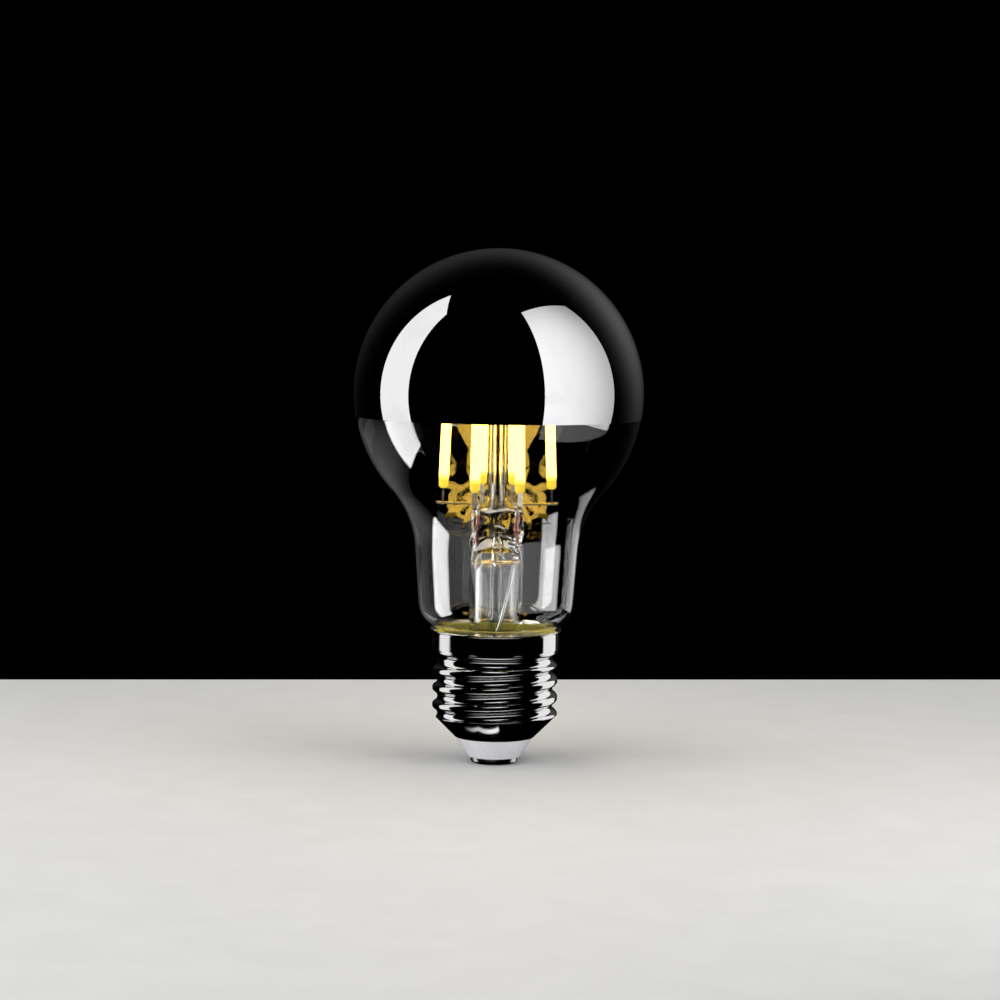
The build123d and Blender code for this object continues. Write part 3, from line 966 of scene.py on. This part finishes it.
@dataclass(frozen=True)
class Stem:
    """Glass stem with its lead wires and wire spiders, each smoothed in its own place."""

    wire_sharp: float = 40.0
    grain: float = 0.28
    press_low: float = 40.5
    press_high: float = 55.5
    press_ease: float = 2.5
    press_lumps: float = 0.45
    lump_length: float = 2.1
    smooth_share: float = 0.5
    smooth_rounds: int = 8
    spiders: tuple[str, ...] = ("left_spider", "right_spider", "top_spider")
    leads: tuple[str, ...] = ("left_lead_wire", "right_lead_wire")

    def melt(self, glass: Piece) -> None:
        """Remesh the stem evenly and give its press the soft lumps of glass that was pinched hot."""
        Bench.take(glass)
        glass.data.remesh_voxel_size = self.grain * MM
        bpy.ops.object.voxel_remesh()
        ways = [corner.normal.copy() for corner in glass.data.vertices]
        for corner, way in zip(glass.data.vertices, ways):
            height = corner.co.z / MM
            inside = min(height - self.press_low, self.press_high - height)
            share = max(0.0, min(1.0, inside / self.press_ease))
            lump = noise.noise(corner.co / (self.lump_length * MM))
            corner.co += way * (self.press_lumps * MM * share * lump)
        even = glass.modifiers.new("even", "SMOOTH")
        even.factor = self.smooth_share
        even.iterations = self.smooth_rounds
        bpy.ops.object.modifier_apply(modifier=even.name)
        bpy.ops.object.shade_smooth()

    def build(self) -> None:
        """Make and dress the stem and the wires that it carries."""
        glass = Bench.smooth_copy("glass_stem", "stem_glass")
        self.melt(glass)
        set_in_place(glass, STEM_GLASS, Slot.GLASS, "glass_stem")
        for node in self.leads:
            wire = Bench.smooth_copy(node, f"{node}_drawn", self.wire_sharp)
            set_in_place(wire, LEAD_WIRE, Slot.LEAD, node)
        for node in self.spiders:
            wire = Bench.smooth_copy(node, f"{node}_welded", self.wire_sharp)
            set_in_place(wire, WIRE_NICKEL, Slot.WIRE, node)


@dataclass(frozen=True)
class Filaments:
    """Six coated LED filaments round the pillar with their metal tabs, in millimetres."""

    glass: Envelope
    radius: float = 1.02
    end_round: float = 0.8
    arm_height: float = 54.85
    tab_length: float = 2.6
    ring_bottom: float = 11.3
    ring_top: float = 9.9
    front_half_angle: float = 24.0
    back_half_angle: float = 17.0
    crown_clearance: float = 8.0
    top_arm_drop: float = 1.2
    wave: float = 0.035
    wave_row: float = 3.0
    wave_rate: float = 0.9
    steps: int = 40
    tab_sharp: float = 30.0

    @property
    def bottom(self) -> float:
        """Height of the filaments' lower ends."""
        return self.arm_height + self.tab_length

    @property
    def top(self) -> float:
        """Height of the filaments' upper ends."""
        crown = self.glass.bulb_height + self.glass.bulb_radius - self.glass.wall
        return crown - self.crown_clearance - self.top_arm_drop - self.tab_length

    @property
    def angles(self) -> list[float]:
        """Places of the filaments round the axis, in degrees, in the order of their numbers."""
        front, back = self.front_half_angle, self.back_half_angle
        return sorted([180.0, 270 - front, 90 + back, 360.0, 270 + front, 90 - back])

    def make_rod(self, length: float) -> Piece:
        """Spin one rod of a length, upright from the origin, with the slight waves of laid gel."""
        ease = self.end_round
        low = arc((self.radius - ease, ease), ease, -90, 0, 6)
        high = arc((self.radius - ease, length - ease), ease, 0, 90, 6)
        side = []
        for r, z in run(low[-1], high[0], 60):
            wave = self.wave * noise.noise(Vector((0.0, self.wave_row, z * self.wave_rate)))
            side.append((r * (1 + wave), z))
        outline = joined([(0.0, 0.0)], low, side, high, [(0.0, length)])
        return Bench.lathe("filament_rod", outline, self.steps, 60.0)

    def build(self) -> None:
        """Make one rod, set a copy of it at each place, and dress the tabs."""
        places = []
        for angle in self.angles:
            way = Vector((cos(radians(angle)), sin(radians(angle)), 0.0))
            foot = way * self.ring_bottom + Vector((0, 0, self.bottom))
            head = way * self.ring_top + Vector((0, 0, self.top))
            places.append((foot, head))
        rod = self.make_rod((places[0][1] - places[0][0]).length)
        for number, (foot, head) in enumerate(places, start=1):
            Bench.take(rod)
            bpy.ops.object.duplicate()
            copy = bpy.context.object
            copy.name = copy.data.name = f"lit_filament_{number}"
            turn = Vector((0, 0, 1)).rotation_difference(head - foot)
            copy.matrix_world = Matrix.Translation(foot * MM) @ turn.to_matrix().to_4x4()
            Bench.settle(copy)
            set_in_place(copy, PHOSPHOR_GEL, Slot.PHOSPHOR, f"led_filament_{number}")
            for end in ("lower", "upper"):
                node = f"filament_{number}_{end}_tab"
                tab = Bench.smooth_copy(node, f"{node}_stamped", self.tab_sharp)
                set_in_place(tab, WIRE_NICKEL, Slot.WIRE, node)
        bpy.data.objects.remove(rod)


@dataclass(frozen=True)
class Driver:
    """Driver inside the cap: its solids are right as they are and only take their finishes."""

    finishes: dict[str, Finish] = field(default_factory=lambda: {
        "driver_board": BOARD_GREEN,
        "smoothing_capacitor": CAN_SLEEVE,
        "bridge_rectifier": CHIP_BLACK,
        "driver_chip": CHIP_BLACK,
        "chip_resistor_1": CHIP_BLACK,
        "chip_resistor_2": CHIP_BLACK,
        "fuse_resistor": FUSE_GREY,
        "live_wire": WIRE_SLEEVE,
        "neutral_wire": WIRE_SLEEVE,
    })

    def build(self) -> None:
        """Dress the driver's CAD nodes."""
        for node, finish in self.finishes.items():
            finish.give(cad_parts[node])
            log.info("%s: finish %s", node, finish.name)


@dataclass(frozen=True)
class Softbox:
    """A flat soft lamp of the studio: its middle, the way it faces and its size, in metres."""

    name: str
    middle: Place
    facing: Place
    width: float
    height: float
    radiance: float
    fade: float = 1.0
    top_fade: float = 1.0
    end_fade: float = 1.0
    edge_fade: float = 1.0
    inner_share: float = 0.8
    turn: float = 0.0
    seen: Seen = Seen.BY_ALL_BUT_CAP

    @classmethod
    def upright(cls, name: str, plan: tuple[Point, Point], low: float, high: float, radiance: float,
                **options: object) -> "Softbox":
        """Give an upright lamp that faces the object's axis.

        Args:
            name: Name of the lamp.
            plan: Ends of the lamp, seen from above.
            low: Height of its lower edge.
            high: Height of its upper edge.
            radiance: How bright it looks, where 1 is white.
            options: Other fields of the lamp.

        Returns:
            The lamp.
        """
        start, end = Vector((*plan[0], 0.0)), Vector((*plan[1], 0.0))
        middle = (start + end) / 2
        facing = (end - start).cross(Vector((0, 0, 1))).normalized()
        if facing.dot(middle) > 0:
            facing = -facing
        place = (middle.x, middle.y, (low + high) / 2)
        return cls(name, place, tuple(facing), (end - start).length, high - low, radiance, **options)

    def build(self, groups: dict[Seen, bpy.types.Collection]) -> None:
        """Set the lamp up, linked to the group of pieces that it shows itself to."""
        bpy.ops.object.light_add(type="AREA", location=self.middle)
        lamp = bpy.context.object
        lamp.name = lamp.data.name = self.name
        back = -Vector(self.facing).normalized()
        up = Vector((0, 1, 0)) if abs(back.z) > 0.9 else Vector((0, 0, 1))
        across = up.cross(back).normalized()
        stand = Matrix((across, back.cross(across), back)).transposed()
        lamp.rotation_euler = (stand @ Matrix.Rotation(radians(self.turn), 3, "Z")).to_euler()
        lamp.data.shape = "RECTANGLE"
        lamp.data.size = self.width
        lamp.data.size_y = self.height
        lamp.data.energy = pi * self.width * self.height * self.radiance
        if self.seen is Seen.BY_MATT_SURFACES:
            lamp.visible_glossy = lamp.visible_transmission = False
        else:
            self.shade(lamp)
        if self.seen in groups:
            lamp.light_linking.receiver_collection = groups[self.seen]

    def shade(self, lamp: Piece) -> None:
        """Let the lamp's brightness fall across it, and hide it from rays that went through the bulb."""
        lamp.data.use_nodes = True
        bench = NodeBench(lamp.data.node_tree)
        spot = bench.add("ShaderNodeNewGeometry").outputs["Parametric"]
        place = bench.add("ShaderNodeSeparateXYZ", Vector=spot)
        across = bench.between(place.outputs["X"], 0.0, 1.0, 1.0, self.fade)
        upward = bench.between(place.outputs["Y"], TOP_FADE_FROM, 1.0, 1.0, self.top_fade)
        off_middle = bench.math("ABSOLUTE", bench.math("SUBTRACT", place.outputs["X"], LAMP_MIDDLE[0]))
        sideways = bench.between(off_middle, *EDGE_FADE_SPAN, 1.0, self.end_fade)
        aside = bench.vectors("DISTANCE", spot, LAMP_MIDDLE)
        outward = bench.between(aside, *EDGE_FADE_SPAN, 1.0, self.edge_fade)
        path = bench.add("ShaderNodeLightPath")
        nearby = bench.math("LESS_THAN", path.outputs["Transmission Depth"], BULB_CROSSED)
        inner = bench.between(path.outputs["Glossy Depth"], 0.0, 1.0, 0.0, self.inner_share)
        seen = bench.math("MAXIMUM", nearby, inner)
        level = across
        for share in (upward, sideways, outward, seen):
            level = bench.math("MULTIPLY", level, share)
        bench.feed(bench.find("EMISSION"), Strength=level)


@dataclass(frozen=True)
class Glow:
    """A soft round glow of the dark surroundings that only mirrored rays meet."""

    way: Place
    peak: float
    narrow: float

    def level(self, bench: NodeBench) -> Socket:
        """Add the glow's nodes to the world and give its brightness."""
        outlook = bench.add("ShaderNodeTexCoord").outputs["Generated"]
        aim = bench.vectors("DOT_PRODUCT", outlook, Vector(self.way).normalized())
        near = bench.math("POWER", bench.math("MAXIMUM", aim, 0.0), self.narrow)
        return bench.math("MULTIPLY", near, self.peak)


@dataclass(frozen=True)
class Studio:
    """Floor, lamps, dark surroundings and camera of the photograph, in metres and degrees."""

    camera_place: Place = (0.000554, -0.600, 0.10373)
    camera_aim: Place = (0.000554, 0.0, 0.05513)
    focal_pixels: float = 2887.0
    roll: float = 0.787
    floor_back: float = 0.12
    floor_front: float = 0.34
    floor_side: float = 0.15
    floor_depth: float = 0.006
    floor_turn: float = 5.45
    glows: tuple[Glow, Glow] = (
        Glow((0.633, 1.0, 0.368), 0.085, 13.0),
        Glow((-0.19, 1.0, 0.445), 0.02, 12.0),
    )
    softboxes: tuple[Softbox, ...] = (
        Softbox.upright("left_strip", ((-0.344, -0.109), (-0.259, 0.053)), -0.15, 0.59, 0.92),
        Softbox.upright("left_strip_on_glass", ((-0.340, -0.1068), (-0.256, 0.0523)), -0.15, 0.585, 6.8,
                        seen=Seen.IN_GLASS),
        Softbox.upright("left_sheen_on_glass", ((-0.226, 1.066), (-1.010, -0.408)), -0.52, -0.03, 0.2,
                        edge_fade=0.25, seen=Seen.IN_GLASS),
        Softbox.upright("right_panel", ((0.117, -0.175), (0.334, 0.054)), -0.045, 0.53, 1.02, fade=0.46,
                        top_fade=0.7),
        Softbox.upright("neck_strip", ((0.8, -0.245), (0.8, 0.170)), -0.192, 0.01, 3.6, seen=Seen.IN_GLASS),
        Softbox.upright("neck_back_strip", ((0.0340, 0.0072), (0.0235, 0.0150)), 0.027, 0.0450, 0.65,
                        seen=Seen.IN_GLASS),
        Softbox.upright("neck_back_left_strip", ((-0.746, 0.503), (-0.422, 0.795)), -0.184, -0.09, 0.07,
                        seen=Seen.IN_GLASS),
        Softbox.upright("neck_front_veil", ((-1.5, -0.9), (1.5, -0.9)), -0.226, -0.10, 1.6, fade=0.65,
                        seen=Seen.IN_GLASS),
        Softbox.upright("cap_right_strip", ((0.397, 0.049), (0.252, 0.311)), -0.2, 0.5, 1.0,
                        seen=Seen.IN_CAP),
        Softbox.upright("cap_left_strip", ((-0.400, 0.007), (-0.343, 0.206)), -0.2, 0.5, 1.0,
                        seen=Seen.IN_CAP),
        Softbox.upright("cap_front_panel", ((-0.25, -0.5), (0.25, -0.5)), 0.40, 0.54, 1.9, end_fade=0.2,
                        seen=Seen.IN_CAP),
        Softbox("cap_under_glow", (0.0, -0.029, 0.0005), (0, 0, 1), 0.06, 0.010, 1.0, end_fade=0.2,
                seen=Seen.IN_CAP),
        Softbox("cap_cone_streak", (-0.0019, -0.00953, 0.0004), (0, 0, 1), 0.0069, 0.0009, 1.3, fade=0.5,
                turn=9.6, seen=Seen.IN_CAP),
        Softbox("cap_cone_tail", (-0.0077, -0.0071, 0.0004), (0, 0, 1), 0.0061, 0.0008, 0.65, fade=0.0,
                turn=38.0, seen=Seen.IN_CAP),
        Softbox.upright("matt_fill", ((-0.70, -0.12), (-0.22, -0.62)), 0.0, 0.5, 3.0,
                        seen=Seen.BY_MATT_SURFACES),
        Softbox.upright("matt_side_fill", ((0.35, -0.50), (0.60, -0.05)), 0.0, 0.4, 1.8,
                        seen=Seen.BY_MATT_SURFACES),
        Softbox("overhead", (0.0, 0.0, 0.9), (0, 0, -1), 1.2, 1.2, 1.3, seen=Seen.BY_MATT_SURFACES),
    )
    clear_pieces: tuple[str, ...] = ("blown_envelope", "stem_glass")
    cap_pieces: tuple[str, ...] = ("cap_shell", "contact_button")

    def make_floor(self) -> None:
        """Make the pale floor as a thin slab, turned a little round the upright axis."""
        Bench.clear()
        bpy.ops.mesh.primitive_cube_add(size=1.0, location=(0, 0, -self.floor_depth / 2))
        floor = bpy.context.object
        floor.name = "studio_floor"
        floor.scale = (2 * self.floor_side, self.floor_back + self.floor_front, self.floor_depth)
        floor.location.y = (self.floor_back - self.floor_front) / 2
        Bench.settle(floor)
        floor.rotation_euler.z = radians(self.floor_turn)
        Bench.settle(floor)
        FLOOR_PALE.give(floor)

    def set_world(self) -> None:
        """Make the surroundings dark, with glows that only mirrored rays meet."""
        world = bpy.data.worlds.new("dark_studio")
        world.use_nodes = True
        bench = NodeBench(world.node_tree)
        glow = bench.math("ADD", *(g.level(bench) for g in self.glows))
        path = bench.add("ShaderNodeLightPath")
        mirrored = bench.math("SUBTRACT", path.outputs["Is Glossy Ray"], path.outputs["Is Transmission Ray"])
        strength = bench.math("MULTIPLY", mirrored, glow)
        bench.feed(bench.find("BACKGROUND"), Color=(1.0, 1.0, 1.0), Strength=strength)
        bpy.context.scene.world = world

    @staticmethod
    def gather(seen: Seen, pieces: tuple[str, ...], left_out: bool = False) -> bpy.types.Collection:
        """Gather pieces for the lamps that show themselves to these alone, or to all others.

        Args:
            seen: What the collection stands for.
            pieces: Names of the pieces.
            left_out: Whether the lamps show themselves to all other pieces.

        Returns:
            The collection.
        """
        group = bpy.data.collections.new(seen.value)
        for piece in pieces:
            group.objects.link(bpy.data.objects[piece])
        if left_out:
            for member in group.collection_objects:
                member.light_linking.link_state = "EXCLUDE"
        return group

    def set_camera(self) -> None:
        """Set the camera up at the photograph's viewing angle."""
        place, aim = Vector(self.camera_place), Vector(self.camera_aim)
        bpy.ops.object.camera_add(location=place)
        camera = bpy.context.object
        camera.data.sensor_width = SENSOR_WIDTH
        camera.data.lens = self.focal_pixels / PHOTO_PIXELS * SENSOR_WIDTH
        camera.data.clip_start = NEAREST_SEEN
        turn = (aim - place).to_track_quat("-Z", "Y")
        camera.rotation_mode = "QUATERNION"
        camera.rotation_quaternion = turn @ Quaternion((0, 0, 1), radians(self.roll))
        bpy.context.scene.camera = camera

    def build(self) -> None:
        """Set the studio up."""
        self.make_floor()
        self.set_world()
        groups = {
            Seen.IN_GLASS: self.gather(Seen.IN_GLASS, self.clear_pieces),
            Seen.IN_CAP: self.gather(Seen.IN_CAP, self.cap_pieces),
            Seen.BY_ALL_BUT_CAP: self.gather(Seen.BY_ALL_BUT_CAP, self.cap_pieces, left_out=True),
        }
        for softbox in self.softboxes:
            softbox.build(groups)
        self.set_camera()
        bpy.context.scene.view_settings.view_transform = "Standard"


def main() -> None:
    """Build the lamp's looks and the studio."""
    logging.basicConfig(level=logging.INFO, format="%(name)s: %(message)s")
    cap = Cap()
    glass = Envelope(cap)
    glass.build()
    cap.build(glass)
    Stem().build()
    Filaments(glass).build()
    Driver().build()
    Studio().build()
    Bench.clear()


if __name__ == "__main__":
    main()
